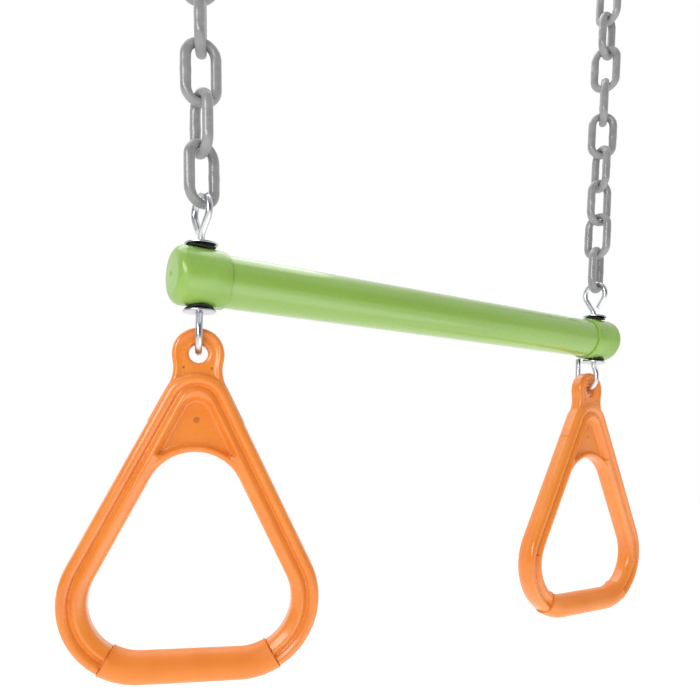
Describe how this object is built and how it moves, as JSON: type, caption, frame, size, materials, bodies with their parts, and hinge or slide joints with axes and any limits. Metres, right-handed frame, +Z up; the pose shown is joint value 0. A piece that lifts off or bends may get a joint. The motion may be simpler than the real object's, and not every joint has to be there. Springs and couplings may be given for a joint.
{
  "type": "trapeze bar swing with gym rings",
  "caption": "Trapeze bar hung on two coated chains with snap clips, with a triangular gym ring hooked under each end of the bar.",
  "frame": {"origin": "midway between the insides of the tops of the two snap clips, where the swing hangs", "axes": "+X along the bar, from the left end to the right end; +Z up; +Y towards the back of the bar"},
  "size_m": [0.56, 0.0688, 0.6798],
  "materials": {
    "powder_coat": "semi-gloss powder coat on steel tube",
    "cap_vinyl": "soft glossy vinyl",
    "zinc": "bright zinc plate on steel wire and washers",
    "black_rubber": "matt black rubber",
    "chain_coating": "glossy grey vinyl dip over welded steel chain",
    "ring_plastic": "satin moulded polyethylene",
    "grip_plastic": "softer satin plastic sleeve"
  },
  "bodies": {
    "hangers": {"left_clip": "zinc", "right_clip": "zinc"},
    "left_link_9": {"left_link_9": "chain_coating"},
    "left_link_8": {"left_link_8": "chain_coating"},
    "left_link_7": {"left_link_7": "chain_coating"},
    "left_link_6": {"left_link_6": "chain_coating"},
    "left_link_5": {"left_link_5": "chain_coating"},
    "left_link_4": {"left_link_4": "chain_coating"},
    "left_link_3": {"left_link_3": "chain_coating"},
    "left_link_2": {"left_link_2": "chain_coating"},
    "left_link_1": {"left_link_1": "chain_coating"},
    "right_link_9": {"right_link_9": "chain_coating"},
    "right_link_8": {"right_link_8": "chain_coating"},
    "right_link_7": {"right_link_7": "chain_coating"},
    "right_link_6": {"right_link_6": "chain_coating"},
    "right_link_5": {"right_link_5": "chain_coating"},
    "right_link_4": {"right_link_4": "chain_coating"},
    "right_link_3": {"right_link_3": "chain_coating"},
    "right_link_2": {"right_link_2": "chain_coating"},
    "right_link_1": {"right_link_1": "chain_coating"},
    "bar": {"bar_tube": "powder_coat", "left_end_cap": "cap_vinyl", "left_top_pad": "black_rubber", "left_top_washer": "zinc", "left_bottom_pad": "black_rubber", "left_bottom_washer": "zinc", "right_end_cap": "cap_vinyl", "right_top_pad": "black_rubber", "right_top_washer": "zinc", "right_bottom_pad": "black_rubber", "right_bottom_washer": "zinc"},
    "left_rod": {"left_rod": "zinc"},
    "left_ring": {"left_ring": "ring_plastic", "left_ring_grip": "grip_plastic"},
    "left_gate": {"left_clip_gate": "zinc"},
    "right_rod": {"right_rod": "zinc"},
    "right_ring": {"right_ring": "ring_plastic", "right_ring_grip": "grip_plastic"},
    "right_gate": {"right_clip_gate": "zinc"}
  },
  "joints": [
    {"name": "left_chain_swing", "type": "hinge", "parent": "hangers", "child": "left_link_9", "pos_m": [-0.20824, 0, -0.06146], "axis": [1, 0, 0], "range_deg": [-40, 40]},
    {"name": "left_link_8_hinge", "type": "hinge", "parent": "left_link_9", "child": "left_link_8", "pos_m": [-0.20723, 0, -0.09059], "axis": [1, 0, 0], "range_deg": [-6, 6]},
    {"name": "left_link_7_hinge", "type": "hinge", "parent": "left_link_8", "child": "left_link_7", "pos_m": [-0.20607, 0, -0.12358], "axis": [1, 0, 0], "range_deg": [-6, 6]},
    {"name": "left_link_6_hinge", "type": "hinge", "parent": "left_link_7", "child": "left_link_6", "pos_m": [-0.20492, 0, -0.15655], "axis": [1, 0, 0], "range_deg": [-6, 6]},
    {"name": "left_link_5_hinge", "type": "hinge", "parent": "left_link_6", "child": "left_link_5", "pos_m": [-0.20377, 0, -0.18953], "axis": [1, 0, 0], "range_deg": [-6, 6]},
    {"name": "left_link_4_hinge", "type": "hinge", "parent": "left_link_5", "child": "left_link_4", "pos_m": [-0.20262, 0, -0.22251], "axis": [1, 0, 0], "range_deg": [-6, 6]},
    {"name": "left_link_3_hinge", "type": "hinge", "parent": "left_link_4", "child": "left_link_3", "pos_m": [-0.20147, 0, -0.25549], "axis": [1, 0, 0], "range_deg": [-6, 6]},
    {"name": "left_link_2_hinge", "type": "hinge", "parent": "left_link_3", "child": "left_link_2", "pos_m": [-0.20032, 0, -0.28847], "axis": [1, 0, 0], "range_deg": [-6, 6]},
    {"name": "left_link_1_hinge", "type": "hinge", "parent": "left_link_2", "child": "left_link_1", "pos_m": [-0.19916, 0, -0.32145], "axis": [1, 0, 0], "range_deg": [-6, 6]},
    {"name": "right_chain_swing", "type": "hinge", "parent": "hangers", "child": "right_link_9", "pos_m": [0.20824, 0, -0.06146], "axis": [1, 0, 0], "range_deg": [-40, 40]},
    {"name": "right_link_8_hinge", "type": "hinge", "parent": "right_link_9", "child": "right_link_8", "pos_m": [0.20723, 0, -0.09059], "axis": [1, 0, 0], "range_deg": [-6, 6]},
    {"name": "right_link_7_hinge", "type": "hinge", "parent": "right_link_8", "child": "right_link_7", "pos_m": [0.20607, 0, -0.12358], "axis": [1, 0, 0], "range_deg": [-6, 6]},
    {"name": "right_link_6_hinge", "type": "hinge", "parent": "right_link_7", "child": "right_link_6", "pos_m": [0.20492, 0, -0.15655], "axis": [1, 0, 0], "range_deg": [-6, 6]},
    {"name": "right_link_5_hinge", "type": "hinge", "parent": "right_link_6", "child": "right_link_5", "pos_m": [0.20377, 0, -0.18953], "axis": [1, 0, 0], "range_deg": [-6, 6]},
    {"name": "right_link_4_hinge", "type": "hinge", "parent": "right_link_5", "child": "right_link_4", "pos_m": [0.20262, 0, -0.22251], "axis": [1, 0, 0], "range_deg": [-6, 6]},
    {"name": "right_link_3_hinge", "type": "hinge", "parent": "right_link_4", "child": "right_link_3", "pos_m": [0.20147, 0, -0.25549], "axis": [1, 0, 0], "range_deg": [-6, 6]},
    {"name": "right_link_2_hinge", "type": "hinge", "parent": "right_link_3", "child": "right_link_2", "pos_m": [0.20032, 0, -0.28847], "axis": [1, 0, 0], "range_deg": [-6, 6]},
    {"name": "right_link_1_hinge", "type": "hinge", "parent": "right_link_2", "child": "right_link_1", "pos_m": [0.19916, 0, -0.32145], "axis": [1, 0, 0], "range_deg": [-6, 6]},
    {"name": "bar_tilt", "type": "hinge", "parent": "left_link_1", "child": "bar", "pos_m": [-0.1979, 0, -0.35761], "axis": [1, 0, 0], "range_deg": [-15, 15]},
    {"name": "left_rod_swivel", "type": "hinge", "parent": "bar", "child": "left_rod", "pos_m": [-0.198, 0, -0.40598], "axis": [0, 0, 1], "range_deg": [-20, 20]},
    {"name": "left_ring_swing", "type": "hinge", "parent": "left_rod", "child": "left_ring", "pos_m": [-0.19572, 0.00662, -0.45288], "axis": [0.3256, 0.9455, 0], "range_deg": [-45, 45]},
    {"name": "left_gate_hinge", "type": "hinge", "parent": "hangers", "child": "left_gate", "pos_m": [-0.21943, 0, -0.04935], "axis": [0, 1, 0], "range_deg": [0, 25], "stiffness_Nm_per_rad": 0.05},
    {"name": "right_rod_swivel", "type": "hinge", "parent": "bar", "child": "right_rod", "pos_m": [0.198, 0, -0.40598], "axis": [0, 0, 1], "range_deg": [-20, 20]},
    {"name": "right_ring_swing", "type": "hinge", "parent": "right_rod", "child": "right_ring", "pos_m": [0.19776, 0.007, -0.45288], "axis": [-0.0349, 0.9994, 0], "range_deg": [-45, 45]},
    {"name": "right_gate_hinge", "type": "hinge", "parent": "hangers", "child": "right_gate", "pos_m": [0.21943, 0, -0.04935], "axis": [0, -1, 0], "range_deg": [0, 25], "stiffness_Nm_per_rad": 0.05}
  ],
  "couplings": [
    {"joint": "right_chain_swing", "follows": "left_chain_swing", "ratio": 1},
    {"joint": "right_link_8_hinge", "follows": "left_link_8_hinge", "ratio": 1},
    {"joint": "right_link_7_hinge", "follows": "left_link_7_hinge", "ratio": 1},
    {"joint": "right_link_6_hinge", "follows": "left_link_6_hinge", "ratio": 1},
    {"joint": "right_link_5_hinge", "follows": "left_link_5_hinge", "ratio": 1},
    {"joint": "right_link_4_hinge", "follows": "left_link_4_hinge", "ratio": 1},
    {"joint": "right_link_3_hinge", "follows": "left_link_3_hinge", "ratio": 1},
    {"joint": "right_link_2_hinge", "follows": "left_link_2_hinge", "ratio": 1},
    {"joint": "right_link_1_hinge", "follows": "left_link_1_hinge", "ratio": 1}
  ]
}
